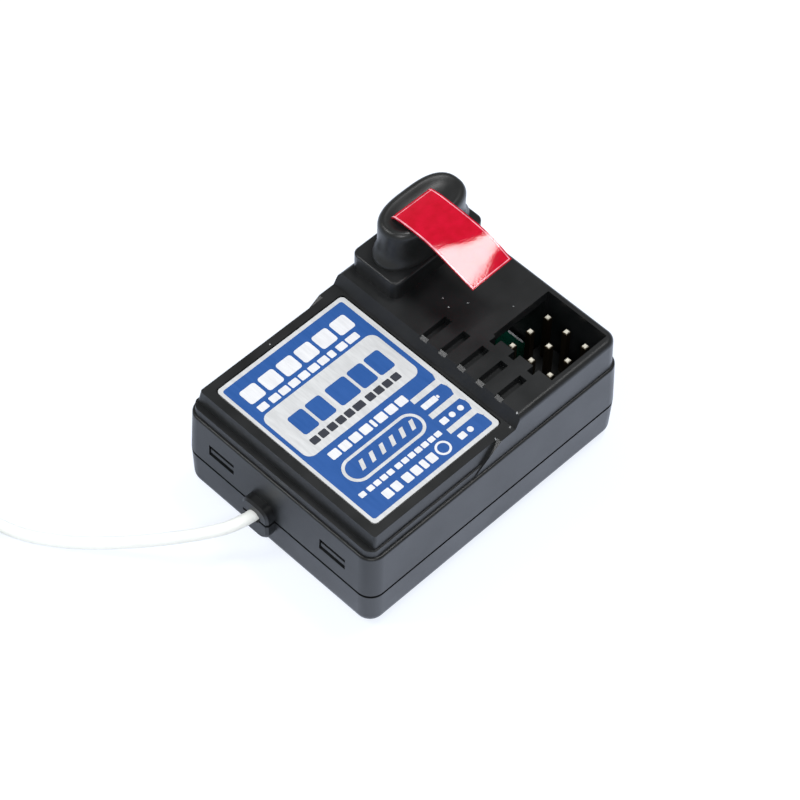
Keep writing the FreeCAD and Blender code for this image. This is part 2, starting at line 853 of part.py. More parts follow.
def tuning_places():
    """Centres of the tuning cans, in a row along the crystal's side of the board."""
    first = -board_half_length + tuning_margin_x + can_side / 2
    return [(first + i * (can_side + tuning_gap), tuning_y) for i in range(tuning_count)]


def tuning_bases():
    """Plastic bases inside the tuning cans."""
    bases = []
    h = can_side / 2 - tuning_wall
    for x, y in tuning_places():
        bases.append(box(x - h, x + h, y - h, y + h, board_top, board_top + tuning_base_height))
    return Part.makeCompound(bases)


def tuning_cans():
    """Screening cans, open below, each with a hole for its core."""
    cans = []
    h = can_side / 2 - tuning_wall
    z1 = board_top + tuning_height
    for x, y in tuning_places():
        can = rounded_block(x, y, can_side, can_side, board_top, z1, tuning_corner)
        can = can.cut(box(x - h, x + h, y - h, y + h, board_top - 1, z1 - tuning_wall))
        cans.append(can.cut(rod(x, y, board_top, z1 + 1, core_diameter + 2 * hole_gap)))
    return Part.makeCompound(cans)


def tuning_cores():
    """Slotted ferrite cores that stand on the bases and show in the cans' holes."""
    cores = []
    z0 = board_top + tuning_base_height
    z1 = board_top + tuning_height - core_recess
    for x, y in tuning_places():
        core = rod(x, y, z0, z1, core_diameter)
        slot = box(x - core_diameter, x + core_diameter, y - core_slot_width / 2, y + core_slot_width / 2,
                   z1 - core_slot_depth, z1 + 1)
        cores.append(core.cut(slot))
    return Part.makeCompound(cores)


def middle_row_x(position):
    """Centres in X of the middle row: the capacitors, the filter and the regulator."""
    widths = [capacitor_diameter] * capacitor_count + [filter_length, regulator_diameter]
    x = -board_half_length + middle_row_start
    for width in widths[:position]:
        x += width + middle_row_gap
    return x + widths[position] / 2


def ceramic_filter():
    """Intermediate frequency filter."""
    x = middle_row_x(capacitor_count)
    top = board_top + filter_height
    block = box(x - filter_length / 2, x + filter_length / 2, middle_y - filter_width / 2,
                middle_y + filter_width / 2, board_top, top)
    return block.makeChamfer(filter_chamfer, edges_at_height(block, top))


def chip_x(position):
    """Centre in X of a chip in the row along the pins' side of the board."""
    return -board_half_length + chip_margin_x + chip_length / 2 + position * (chip_length + chip_gap)


def chip_body(position):
    """Moulded chip body with its end mark."""
    x = chip_x(position) - chip_length / 2
    y = chip_y - chip_width / 2
    z0 = board_top + chip_standoff
    z1 = z0 + chip_height
    body = box(x, x + chip_length, y, y + chip_width, z0, z1)
    body = body.makeChamfer(chip_height / 2 - 0.01, chip_taper, edges_at_height(body, z1))
    mark = Part.makeCylinder(chip_mark_diameter / 2, 1, Vector(x, chip_y, z1 - chip_mark_depth))
    return body.cut(mark)


def chip_legs(position):
    """Gull wing legs along both sides of a chip."""
    legs = []
    lead_z = board_top + chip_standoff + chip_height / 2
    waist = chip_width / 2
    knee = waist + chip_pin_knee
    t = chip_pin_thickness
    outline = [
        (waist, lead_z),
        (knee, lead_z),
        (knee, board_top + t),
        (waist + chip_pin_reach, board_top + t),
        (waist + chip_pin_reach, board_top),
        (knee - t, board_top),
        (knee - t, lead_z - t),
        (waist, lead_z - t),
    ]
    for i in range(chip_pins):
        x = chip_x(position) + (i - (chip_pins - 1) / 2) * chip_pin_pitch - chip_pin_width / 2
        for sy in (1, -1):
            ring = [Vector(x, chip_y + sy * reach, z) for reach, z in outline]
            ring.append(ring[0])
            legs.append(Part.Face(Part.makePolygon(ring)).extrude(Vector(chip_pin_width, 0, 0)))
    return Part.makeCompound(legs)


def capacitor_cans():
    """Upright electrolytic capacitors."""
    z0 = board_top + bung_height
    cans = []
    for i in range(capacitor_count):
        cans.append(rod(middle_row_x(i), middle_y, z0, z0 + capacitor_height, capacitor_diameter))
    return Part.makeCompound(cans)


def capacitor_bungs():
    """Rubber bungs that the capacitors stand on."""
    diameter = capacitor_diameter - 2 * bung_inset
    bungs = []
    for i in range(capacitor_count):
        bungs.append(rod(middle_row_x(i), middle_y, board_top, board_top + bung_height, diameter))
    return Part.makeCompound(bungs)


def regulator():
    """Voltage regulator with a flat front."""
    x = middle_row_x(capacitor_count + 1)
    r = regulator_diameter
    z0 = board_top + regulator_leg_height
    z1 = z0 + regulator_height
    front = box(x - r, x + r, middle_y - r, middle_y - regulator_flat, z0 - 1, z1 + 1)
    return rod(x, middle_y, z0, z1, regulator_diameter).cut(front)


def regulator_legs():
    """Three legs that the regulator stands on."""
    h = regulator_leg / 2
    legs = []
    for i in (-1, 0, 1):
        x = middle_row_x(capacitor_count + 1) + i * pin_pitch / 2
        legs.append(box(x - h, x + h, middle_y - h, middle_y + h, board_top, board_top + regulator_leg_height))
    return Part.makeCompound(legs)


def chip_parts(first):
    """Every second one of the small parts in a row between the middle row and the cans."""
    y = (middle_y + regulator_diameter / 2 + middle_high) / 2
    h = chip_part_length / 2
    w = chip_part_width / 2
    parts = []
    for i in range(first, chip_part_count, 2):
        x = -board_half_length + middle_row_start + h + i * chip_part_pitch
        parts.append(box(x - h, x + h, y - w, y + w, board_top, board_top + chip_part_height))
    return Part.makeCompound(parts)


def wire_start_x():
    """Where the antenna's covering begins, just inside the case wall."""
    return -half_length + 1.5 * case_wall


def antenna_conductor():
    """Bared end of the antenna, from its covering to the solder joint."""
    start = Vector(wire_start_x(), wire_y, joint_height)
    return Part.makeCylinder(conductor_diameter / 2, conductor_length, start, Vector(1, 0, 0))


def antenna_solder():
    """Solder joint that holds the conductor to the board."""
    x = wire_start_x() + conductor_length
    rise = joint_height - board_top + conductor_diameter
    cone = Part.makeCone(pad_diameter / 2, pad_diameter / 4, rise, Vector(x, wire_y, board_top))
    conductor = Part.makeCylinder(conductor_diameter / 2, 2 * conductor_length,
                                  Vector(x - 2 * conductor_length, wire_y, joint_height), Vector(1, 0, 0))
    return cone.cut(conductor)


def antenna_route():
    """Points of the antenna from inside the case, down to the table and on to its coil."""
    fall = joint_height - wire_diameter / 2
    points = [Vector(wire_start_x(), wire_y, joint_height)]
    for out, along, fallen in wire_route:
        points.append(Vector(mouth_x - out, wire_y + along, joint_height - fallen * fall))
    out, along = wire_route_end
    points.append(Vector(mouth_x - out, wire_y + along, wire_diameter / 2 + tie_thickness))
    return points


def bend_radius(before, corner, after):
    """Largest easy bend at a point of the route."""
    a = corner - before
    b = after - corner
    half_turn = a.getAngle(b) / 2
    return 0.45 * min(a.Length, b.Length) / math.tan(half_turn)


def antenna_wire():
    """Covered antenna wire as straight runs joined by tangent bends."""
    points = antenna_route()
    edges = []
    start = points[0]
    for before, corner, after in zip(points, points[1:], points[2:]):
        a = (corner - before).normalize()
        b = (after - corner).normalize()
        radius = bend_radius(before, corner, after)
        half_turn = a.getAngle(b) / 2
        reach = radius * math.tan(half_turn)
        enter = corner - a * reach
        leave = corner + b * reach
        inward = (b - a).normalize()
        middle = corner + inward * (radius / math.cos(half_turn) - radius)
        edges.append(Part.LineSegment(start, enter).toShape())
        edges.append(Part.Arc(enter, middle, leave).toShape())
        start = leave
        print("bend radius", round(radius, 2), "in diameters", round(radius / wire_diameter, 2))
    edges.append(Part.LineSegment(start, points[-1]).toShape())
    path = Part.Wire(edges)
    section = Part.Wire(Part.makeCircle(wire_diameter / 2, points[0], points[1] - points[0]))
    tube = path.makePipeShell([section], True, False)
    expected = math.pi * wire_diameter ** 2 / 4 * path.Length
    print("wire run", round(path.Length, 1), "volume ratio", round(tube.Volume / expected, 4))
    return tube


def coil_side():
    """Width and height of the coil's bundle of turns."""
    return coil_turns_wide * wire_diameter


def coil_centre():
    """Middle of the coil: the end of the route runs along the outside of its bundle."""
    before, end = antenna_route()[-2:]
    run = end - before
    across = Vector(-run.y, run.x, 0).normalize()
    centre = end + across * ((coil_across + coil_side() + wire_diameter) / 2)
    return Vector(centre.x, centre.y, tie_thickness + coil_side() / 2)


def bundle_outline(grow):
    """Outline of the coil's bundle of turns, grown by a thickness, as points about its middle."""
    h = coil_side() / 2 + grow
    return [(h, -h), (h, h), (-h, h), (-h, -h)]


def antenna_coil():
    """Outer shape of the coiled far end of the antenna."""
    ring = [Vector(coil_across / 2 + x, 0, z) for x, z in bundle_outline(0)]
    ring.append(ring[0])
    coil = Part.Face(Part.makePolygon(ring)).revolve(Vector(0, 0, 0), Vector(0, 0, 1), 360)
    coil.translate(coil_centre())
    return coil


def coil_tie():
    """Band round the coil that keeps its turns together."""
    middle = coil_centre() - Vector(0, coil_across / 2, 0)
    ring = [Vector(-tie_width / 2, y, z) for y, z in bundle_outline(tie_thickness)]
    ring.append(ring[0])
    loop = Part.Face(Part.makePolygon(ring)).extrude(Vector(tie_width, 0, 0))
    loop.translate(middle)
    return loop.cut(antenna_coil())


def nodes():
    """Every piece of the receiver by its node name."""
    pieces = {
        "bottom_case": bottom_case(),
        "top_case": top_case(),
        "label_plate": label_plate(),
        "circuit_board": circuit_board(),
        "header_block": header_block(),
        "battery_pins": pin_row(2),
        "channel_2_pins": pin_row(1),
        "channel_1_pins": pin_row(0),
        "crystal_cap": crystal_cap(),
        "crystal_can": crystal_can(),
        "crystal_leads": crystal_leads(),
        "crystal_socket": crystal_socket(),
        "socket_contacts": socket_contacts(),
        "pull_tab": pull_tab(),
        "tuning_bases": tuning_bases(),
        "tuning_cans": tuning_cans(),
        "tuning_cores": tuning_cores(),
        "ceramic_filter": ceramic_filter(),
        "receiver_chip": chip_body(0),
        "receiver_chip_legs": chip_legs(0),
        "decoder_chip": chip_body(1),
        "decoder_chip_legs": chip_legs(1),
        "capacitor_cans": capacitor_cans(),
        "capacitor_bungs": capacitor_bungs(),
        "regulator": regulator(),
        "regulator_legs": regulator_legs(),
        "chip_resistors": chip_parts(0),
        "chip_capacitors": chip_parts(1),
        "antenna_conductor": antenna_conductor(),
        "antenna_solder": antenna_solder(),
        "antenna_wire": antenna_wire(),
        "antenna_coil": antenna_coil(),
        "coil_tie": coil_tie(),
    }
    return pieces


def main():
    """Writes one STEP file for each piece."""
    os.makedirs("parts", exist_ok=True)
    for name, shape in nodes().items():
        shape.exportStep("parts/" + name + ".step")
        print(name, "valid", shape.isValid(), "solids", len(shape.Solids), "volume", round(shape.Volume, 2))


main()
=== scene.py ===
import math
import bmesh
import bpy
from mathutils import Matrix, Vector


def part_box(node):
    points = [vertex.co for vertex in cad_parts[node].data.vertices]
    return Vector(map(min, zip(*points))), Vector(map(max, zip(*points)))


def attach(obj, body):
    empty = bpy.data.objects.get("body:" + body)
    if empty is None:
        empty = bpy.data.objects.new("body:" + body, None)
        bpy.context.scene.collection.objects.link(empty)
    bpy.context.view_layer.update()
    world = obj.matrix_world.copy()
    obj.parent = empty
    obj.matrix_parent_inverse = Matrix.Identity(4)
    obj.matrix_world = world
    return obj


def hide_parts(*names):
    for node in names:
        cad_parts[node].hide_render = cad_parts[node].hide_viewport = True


# Looks of a small radio control receiver: a black moulded case with a printed label,
# connector pins in a pocket, a plug in crystal with a red pull tab and a white wire antenna.
# Lengths and places are in millimetres in the part's frame, and mm() turns them into metres.
# Scales of noise are in waves per metre.

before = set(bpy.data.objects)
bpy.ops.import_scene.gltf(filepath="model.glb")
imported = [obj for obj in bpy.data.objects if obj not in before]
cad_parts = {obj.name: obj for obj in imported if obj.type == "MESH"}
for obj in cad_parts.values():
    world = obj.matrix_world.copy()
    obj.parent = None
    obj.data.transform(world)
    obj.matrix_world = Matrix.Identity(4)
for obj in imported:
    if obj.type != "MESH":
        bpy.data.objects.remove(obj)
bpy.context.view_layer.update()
bpy.context.scene.view_settings.view_transform = "Standard"


def mm(*values):
    """Millimetres as metres: one number, or a vector of three."""
    if len(values) == 1:
        return values[0] / 1000
    return Vector(values) / 1000


def box_mm(node):
    """Lowest and highest corner of a CAD node."""
    low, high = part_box(node)
    return [v * 1000 for v in low], [v * 1000 for v in high]


# Places taken from the CAD nodes
LABEL_LOW, LABEL_HIGH = box_mm("label_plate")
BOARD_HIGH = box_mm("circuit_board")[1]
CAP_LOW, CAP_HIGH = box_mm("crystal_cap")
TAB_LOW, TAB_HIGH = box_mm("pull_tab")
CRYSTAL_X = (CAP_LOW[0] + CAP_HIGH[0]) / 2
CRYSTAL_Y = (CAP_LOW[1] + CAP_HIGH[1]) / 2
CAN_TOP = box_mm("crystal_can")[1][2]
PIN_TIPS = box_mm("battery_pins")[1][2]

# Camera, fitted to the photograph: angles in degrees, then lengths
CAMERA_AZIMUTH = -46.698
CAMERA_ELEVATION = 53.113
CAMERA_ROLL = 2.047
CAMERA_DISTANCE = 312.536
CAMERA_RIGHT = -0.28
CAMERA_UP = 5.178
CAMERA_LENS = 138.76
CAMERA_SENSOR = 36
CAMERA_CLIP = 10.0

# Lamps: name, place, size and power in watts
LAMPS = [
    ("key", (113, -20, 362), (100, 74), 0.40),
    ("front", (-160, -180, 310), (70, 70), 0.40),
    ("side", (-190, 165, 311), (95, 95), 0.38),
]
LAMP_AIM = (0, 0, 10)

# Floor: half its side, its plain colour, and as the camera sees it the part that light makes
# and its own glow
FLOOR_HALF = 2000.0
FLOOR_PLAIN = (0.86, 0.87, 0.88)
SEEN_LIT = (0.30, 0.32, 0.36)
SEEN_GLOW = (0.72, 0.75, 0.80)

# Floor as it shows in gloss: the part that light makes, its own glow, how much of the glow is left
# far from the object and between which distances it fades, and the way along which the glow comes up,
# from where to where: the glow is held back on the -X side, a painted shade in the case's reflections
# there
GLOSS_LIT = (0.64, 0.70, 0.82)
GLOSS_GLOW = (0.51, 0.55, 0.65)
GLOSS_FAR = 0.1
GLOSS_FADE = (40.0, 160.0)
GLOSS_SHADE_WAY = (0.9, -0.4, 0)
GLOSS_SHADE_EDGE = (-24.0, -12.0)

# World: its soft light, and how bright it shows in gloss low down and overhead, between which heights
SOFT_COLOUR = (0.96, 0.98, 1.0)
SOFT_LEVEL = 0.60
SKY_LEVELS = (0.55, 0.22)
SKY_HEIGHTS = (0.15, 0.8)

# Antenna: the cord's route from the case, then a coil of turns laid in layers
WIRE = 1.3
ROUTE = [
    (-16.05, 2.0, 5.25),
    (-20.1, 2.0, 5.25),
    (-23.7, 4.85, 4.0),
    (-27.7, 9.5, 1.95),
    (-32.0, 14.7, 0.65),
    (-35.5, 20.2, 0.65),
    (-36.1, 26.2, 1.0),
]
COIL_ACROSS = 14.5
COIL_LAYERS = 3
COIL_STEPS = 16

# Label's print. Its places are measured along the label from the end by the antenna, and across it from
# its middle: start, end, lowest and highest edge and corner radius of each round field.
PRINT = 0.02
LABEL_FIELD = (0.38, 16.60, -10.5, 10.5, 0.3)
LABEL_PANEL = (0.80, 16.05, -1.25, 5.6, 0.95)
LABEL_PLAQUE = (1.85, 12.05, -6.75, -3.65, 1.5)
PLAQUE_FIELD = (2.20, 11.70, -6.4, -4.0, 1.15)

# Rows of blocks in place of words: the blocks' widths, with a zero for a wider gap, then start and end,
# lowest and highest edge, gap and corner radius
WHITE_ROWS = [
    ([3, 3, 3, 3, 3, 3], 1.35, 15.55, 7.3, 9.25, 0.4, 0.3),
    ([3, 0, 3, 3, 3, 3, 3, 3, 2, 0, 3, 4], 1.45, 14.85, 5.98, 6.82, 0.22, 0.12),
    ([3, 3, 3, 3, 1, 3, 3, 3], 2.45, 12.65, -2.95, -1.95, 0.25, 0.12),
    ([3, 0, 3, 3, 3, 3, 0, 3, 3, 3, 3, 3, 3, 3], 1.25, 12.15, -8.0, -7.4, 0.18, 0.08),
    ([3, 3, 0, 3, 3, 2, 3], 2.95, 9.85, -9.8, -8.75, 0.25, 0.12),
]
PANEL_BOLD_ROW = ([3, 3, 0, 4, 3, 3], 2.55, 14.85, 1.05, 3.75, 0.35, 0.3)
PANEL_FINE_ROW = ([3, 3, 3, 3, 3, 4, 0, 3, 3, 3, 3], 2.35, 14.25, -0.4, 0.45, 0.22, 0.12)

# Ring: its middle, radius and line. Slanted marks: how many, first place, spacing, width, lean,
# lowest and highest edge.
RING = (11.0, -9.2, 0.85, 0.24)
MARK_COUNT = 6
MARK_START = 3.55
MARK_SPACING = 1.35
MARK_WIDTH = 0.5
MARK_LEAN = 0.5
MARK_EDGES = (-5.75, -4.65)

# Fields of the three channels: tops of the bars between them, the outline of a bar off its top,
# the block and the round pips of a channel, and the two shapes that make a battery
BAR_TOPS = (-2.95, -5.45, -7.9)
BAR_OUTLINE = [(12.75, 0), (12.70, -0.66), (16.37, -0.66), (16.57, -1.2), (16.75, -1.2), (16.75, 0.62),
               (16.57, 0.62), (16.35, 0.05)]
PIP_ROWS = [(-7.0, 2), (-9.45, 1)]
PIP_START = 14.15
PIP_WIDTH = 0.65
PIP_SPACING = 1.15
PIP_HALF = 0.33
PIP_CORNER = 0.3
CHANNEL_BLOCK = (12.95, 13.80, 0.36, 0.1)
BATTERY = [(12.95, 14.85, -4.85, -4.15, 0.1), (14.90, 15.15, -4.68, -4.32, 0.08)]

# Painted reflection along the board's edge, laid on the board as a thin white line: how far its two edges
# lie in from the board's end, and where it starts and stops
BOARD_GLINT_INSETS = (0.25, 0.02)
BOARD_GLINT_ENDS = (-1.15, 0.95)

# Specks of dust, and pale specks at corners that are painted glints: place, half length, half width and
# turn in degrees
PLATEAU_TOP = 15.05
FRAME_TOP = 13.65
SHOULDER_TOP = 11.1
SPECKS_AND_GLINTS = [
    (7.74, 1.79, PLATEAU_TOP, 0.11, 0.07, 20),
    (8.15, 2.97, PLATEAU_TOP, 0.08, 0.06, 70),
    (9.48, 0.81, PLATEAU_TOP, 0.10, 0.05, 130),
    # These four, at corners along the -Y edge of the plateau, the frame and the shoulder, are painted
    # glints
    (3.14, -11.93, PLATEAU_TOP, 0.14, 0.09, 40),
    (2.24, -11.96, FRAME_TOP, 0.11, 0.08, 10),
    (0.21, -11.98, FRAME_TOP, 0.20, 0.07, 65),
    (-1.75, -12.15, SHOULDER_TOP, 0.12, 0.09, 0),
    (-7.4, 11.5, FRAME_TOP, 0.09, 0.06, 100),
    (12.4, -2.6, PLATEAU_TOP, 0.08, 0.05, 150),
    (14.9, 1.7, PLATEAU_TOP, 0.07, 0.05, 30),
    (-16.78, 5.06, SHOULDER_TOP, 0.09, 0.07, 40),
    (-16.74, 8.30, SHOULDER_TOP, 0.07, 0.05, 110),
]
SPECK_SIDES = 9
SPECK_RAGGED = 0.25
SPECK_RISE = 0.7

# Crystal cap: half length, half width and height over its foot of each ring of its outside, from the foot
# to the dish. Its far side leans up above the neck. Its outline's sides bulge by these powers.
CAP_RINGS = [
    (5.95, 2.75, 0.0),
    (5.95, 2.75, 0.32),
    (5.86, 2.73, 0.48),
    (5.62, 2.70, 0.75),
    (5.38, 2.66, 1.15),
    (5.30, 2.65, 1.65),
    (5.27, 2.66, 2.3),
    (5.26, 2.68, 3.1),
    (5.25, 2.70, 3.9),
    (5.22, 2.67, 4.12),
    (5.13, 2.59, 4.36),
    (4.98, 2.44, 4.56),
    (4.78, 2.24, 4.67),
    (4.55, 2.03, 4.70),
    (4.32, 1.82, 4.65),
    (4.05, 1.60, 4.54),
    (3.60, 1.30, 4.41),
    (3.00, 1.00, 4.32),
    (2.00, 0.60, 4.28),
]
CAP_BULGE = (3.0, 2.25)
CAP_LEAN = 0.2
CAP_NECK = 1.7
CAP_STEPS = 72
CAP_SHARP = 50
CAN_HALF = (4.0, 1.6)

# Pull tab: points along it, each with its place from the crystal's middle and the heights of its left and
# right edge over the cap's top
TAB_LINE = [
    (0.75, -1.10, -1.10),
    (0.75, -0.30, -0.30),
    (0.575, 0.00, -0.02),
    (0.075, 0.12, 0.10),
    (-0.925, 0.20, 0.20),
    (-2.325, 0.20, 0.20),
    (-3.725, 0.14, 0.18),
    (-5.025, -0.10, 0.12),
    (-6.325, -0.44, 0.00),
    (-7.625, -0.79, -0.25),
    (-8.925, -1.13, -0.68),
    (-10.35, -1.50, -1.30),
]
TAB_THICKNESS = 0.2
TAB_CELLS = (12, 66)
TAB_SHARP = 40

# Seam of the pull tab: how deep it is sunk and how far it stands out. Across the tab its places are shares
# of the width, and along it they are counted in points of its line, from the first or back from the last.
SEAM_SUNK = 0.02
SEAM_PROUD = 0.012
SEAM_LEFT = (0.0, 0.03)
SEAM_RIGHT = (0.955, 0.974)
SEAM_SIDES = (0.03, 0.96)
SEAM_START = 1.6
SEAM_STOP = 0.12
SEAM_ROOT = (2.32, 2.44)
SEAM_END = 0.2

# Pins: from where to where below their tips their colour changes, from the painted shade of the shafts
# down in the pocket to the pale tips
PIN_SHADE_FADE = (0.12, 0.04)

# Materials: scale of the slow changes in moulded plastic, the middle part of a noise that makes a change,
# and the heights of reliefs
CLOUD_SCALE = 260
COLOUR_SPAN = (0.35, 0.65)
GLOSS_SPAN = (0.3, 0.7)
GRAIN_HEIGHT = 0.03
MARKS_HEIGHT = 0.02


def new_object(name, data):
    obj = bpy.data.objects.new(name, data)
    bpy.context.scene.collection.objects.link(obj)
    return obj


def from_bmesh(name, bm, smooth=False):
    """Object made of a bmesh."""
    mesh = bpy.data.meshes.new(name)
    bm.to_mesh(mesh)
    bm.free()
    for polygon in mesh.polygons:
        polygon.use_smooth = smooth
    return new_object(name, mesh)


def dress(obj, *materials):
    """Gives an object its materials."""
    obj.data.materials.clear()
    for material in materials:
        obj.data.materials.append(material)
    return obj


def add_piece(obj):
    """Lets a new piece ride on the one body."""
    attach(obj, "root")
    return obj


# Camera and lamps

def place_camera():
    a = math.radians(CAMERA_AZIMUTH)
    e = math.radians(CAMERA_ELEVATION)
    r = math.radians(CAMERA_ROLL)
    back = Vector((math.sin(a) * math.cos(e), -math.cos(a) * math.cos(e), math.sin(e)))
    level = Vector((math.cos(a), math.sin(a), 0))
    rise = back.cross(level)
    right = level * math.cos(r) + rise * math.sin(r)
    up = rise * math.cos(r) - level * math.sin(r)
    place = back * CAMERA_DISTANCE + right * CAMERA_RIGHT + up * CAMERA_UP
    data = bpy.data.cameras.new("camera")
    data.sensor_width = CAMERA_SENSOR
    data.lens = CAMERA_LENS
    data.clip_start = mm(CAMERA_CLIP)
    camera = new_object("camera", data)
    turn = Matrix((right, up, back)).transposed().to_4x4()
    camera.matrix_world = Matrix.Translation(mm(*place)) @ turn
    bpy.context.scene.camera = camera


def area_light(name, place, size, power):
    """Soft lamp that looks at the middle of the case."""
    data = bpy.data.lights.new(name, "AREA")
    data.shape = "RECTANGLE"
    data.size = mm(size[0])
    data.size_y = mm(size[1])
    data.energy = power
    lamp = new_object(name, data)
    lamp.location = mm(*place)
    aim = mm(*LAMP_AIM) - lamp.location
    lamp.rotation_euler = aim.to_track_quat("-Z", "Y").to_euler()


# Nodes

class Nodes:
    """Short way to build the nodes of a material or of the world."""

    def __init__(self, owner, output="ShaderNodeOutputMaterial"):
        owner.use_nodes = True
        self.owner = owner
        self.tree = owner.node_tree
        self.tree.nodes.clear()
        self.out = self.tree.nodes.new(output)

    def add(self, kind, **values):
        node = self.tree.nodes.new(kind)
        for key, value in values.items():
            if key in node.inputs:
                node.inputs[key].default_value = value
            else:
                setattr(node, key, value)
        return node

    def link(self, source, target):
        self.tree.links.new(source, target)

    def place(self):
        """Position on the object in metres."""
        return self.add("ShaderNodeTexCoord").outputs["Object"]

    def height(self, where):
        """Third part of a position."""
        split = self.add("ShaderNodeSeparateXYZ")
        self.link(where, split.inputs[0])
        return split.outputs["Z"]

    def noise(self, scale, detail=3.0, rough=0.5, stretch=None):
        """Fine noise, drawn out along an axis if asked."""
        node = self.add("ShaderNodeTexNoise", Scale=scale, Detail=detail, Roughness=rough)
        where = self.place()
        if stretch:
            mapping = self.add("ShaderNodeMapping", Scale=stretch)
            self.link(where, mapping.inputs["Vector"])
            where = mapping.outputs["Vector"]
        self.link(where, node.inputs["Vector"])
        return node.outputs["Fac"]

    def span(self, factor, low, high, start=0.0, end=1.0):
        """Number that runs from low to high as the factor goes from start to end."""
        node = self.add("ShaderNodeMapRange")
        node.inputs["From Min"].default_value = start
        node.inputs["From Max"].default_value = end
        node.inputs["To Min"].default_value = low
        node.inputs["To Max"].default_value = high
        self.link(factor, node.inputs["Value"])
        return node.outputs["Result"]

    def math(self, operation, first, second):
        """Result of two numbers."""
        node = self.add("ShaderNodeMath", operation=operation)
        self.link(first, node.inputs[0])
        self.link(second, node.inputs[1])
        return node.outputs[0]

    def tint(self, factor, first, second):
        """Colour between two colours."""
        node = self.add("ShaderNodeMix", data_type="RGBA")
        colours = [s for s in node.inputs if s.type == "RGBA"]
        colours[0].default_value = (*first, 1)
        colours[1].default_value = (*second, 1)
        self.link(factor, node.inputs["Factor"])
        return [s for s in node.outputs if s.type == "RGBA"][0]

    def either(self, factor, first, second):
        """First shader, or the second one where the factor is 1."""
        node = self.add("ShaderNodeMixShader")
        self.link(factor, node.inputs[0])
        self.link(first, node.inputs[1])
        self.link(second, node.inputs[2])
        return node.outputs[0]

    def lit_and_glowing(self, lit, glow, strength=None):
        """Matt shader with a glow of its own."""
        shaded = self.add("ShaderNodeBsdfDiffuse", Color=(*lit, 1))
        glowing = self.add("ShaderNodeEmission", Color=(*glow, 1), Strength=1.0)
        if strength:
            self.link(strength, glowing.inputs["Strength"])
        both = self.add("ShaderNodeAddShader")
        self.link(shaded.outputs[0], both.inputs[0])
        self.link(glowing.outputs[0], both.inputs[1])
        return both.outputs[0]

    def surface(self, **values):
        """Main shader, with plain values set on its own sockets."""
        shader = self.add("ShaderNodeBsdfPrincipled", **values)
        self.link(shader.outputs["BSDF"], self.out.inputs["Surface"])
        return shader

    def relief(self, shader, height, strength, distance, edge=0.0):
        """Bump from a height, over softened edges if an edge radius is given."""
        bump = self.add("ShaderNodeBump", Strength=strength, Distance=mm(distance))
        self.link(height, bump.inputs["Height"])
        if edge:
            bevel = self.add("ShaderNodeBevel", samples=6)
            bevel.inputs["Radius"].default_value = mm(edge)
            self.link(bevel.outputs["Normal"], bump.inputs["Normal"])
        self.link(bump.outputs["Normal"], shader.inputs["Normal"])


def new_material(name):
    return Nodes(bpy.data.materials.new(name))


# Kinds of material

def moulded_plastic(name, dark, light, rough, grain=9000, edge=0.0, relief=0.06):
    """Moulded plastic with a fine grain and slight changes of gloss."""
    m = new_material(name)
    shader = m.surface(IOR=1.5)
    fine = m.noise(grain, 2)
    broad = m.noise(CLOUD_SCALE, 3)
    m.link(m.tint(m.span(broad, 0, 1, *COLOUR_SPAN), dark, light), shader.inputs["Base Color"])
    m.link(m.span(broad, *rough, *GLOSS_SPAN), shader.inputs["Roughness"])
    m.relief(shader, fine, relief, GRAIN_HEIGHT, edge)
    return m.owner


def metal(name, colour, rough, stretch, scale=4000):
    """Metal with fine drawn marks."""
    m = new_material(name)
    shader = m.surface(Metallic=1.0)
    marks = m.noise(scale, 3, 0.6, stretch)
    darker = tuple(c * 0.82 for c in colour)
    m.link(m.tint(marks, darker, colour), shader.inputs["Base Color"])
    m.link(m.span(marks, *rough, *GLOSS_SPAN), shader.inputs["Roughness"])
    m.relief(shader, marks, 0.1, MARKS_HEIGHT)
    return m.owner


def pin_metal(name, shaft, tip):
    """Square pin: pale gold at the tip, and dark and dull along its shaft with painted shade, where it
    stands down in the pocket.
    """
    m = new_material(name)
    shader = m.surface()
    change = [mm(PIN_TIPS - below) for below in PIN_SHADE_FADE]
    out_of_shade = m.span(m.height(m.place()), 0, 1, *change)
    m.link(m.tint(out_of_shade, shaft, tip), shader.inputs["Base Color"])
    m.link(m.span(out_of_shade, 1.0, 0.3), shader.inputs["Metallic"])
    m.link(m.span(out_of_shade, 0.45, 0.35), shader.inputs["Roughness"])
    m.relief(shader, m.noise(5000, 3, 0.6, (1, 1, 0.2)), 0.1, MARKS_HEIGHT)
    return m.owner


def glossy_film(name, deep, colour, rough):
    """Glossy plastic film, a little wavy, so that a lamp's reflection in it has a ragged border."""
    m = new_material(name)
    shader = m.surface(IOR=1.52)
    cloud = m.noise(900, 3)
    m.link(m.tint(m.span(cloud, 0, 1, *COLOUR_SPAN), deep, colour), shader.inputs["Base Color"])
    m.link(m.span(m.noise(2500, 3), *rough, *GLOSS_SPAN), shader.inputs["Roughness"])
    m.relief(shader, m.noise(420, 6, 0.68), 1.0, GRAIN_HEIGHT)
    return m.owner


def printed_foil(name, colour, metallic, rough=(0.35, 0.5), deeper=0.9):
    """Printed foil under a clear film, with a fine brushed grain along the label."""
    m = new_material(name)
    shader = m.surface(Metallic=metallic, IOR=1.45)
    shader.inputs["Coat Weight"].default_value = 0.35
    shader.inputs["Coat Roughness"].default_value = 0.25
    grain = m.noise(2600, 4, 0.65, (1, 0.12, 1))
    deep = tuple(c * deeper for c in colour)
    m.link(m.tint(m.span(grain, 0, 1, *COLOUR_SPAN), deep, colour), shader.inputs["Base Color"])
    m.link(m.span(grain, *rough, *GLOSS_SPAN), shader.inputs["Roughness"])
    m.relief(shader, grain, 0.05, MARKS_HEIGHT)
    return m.owner


# Floor and world

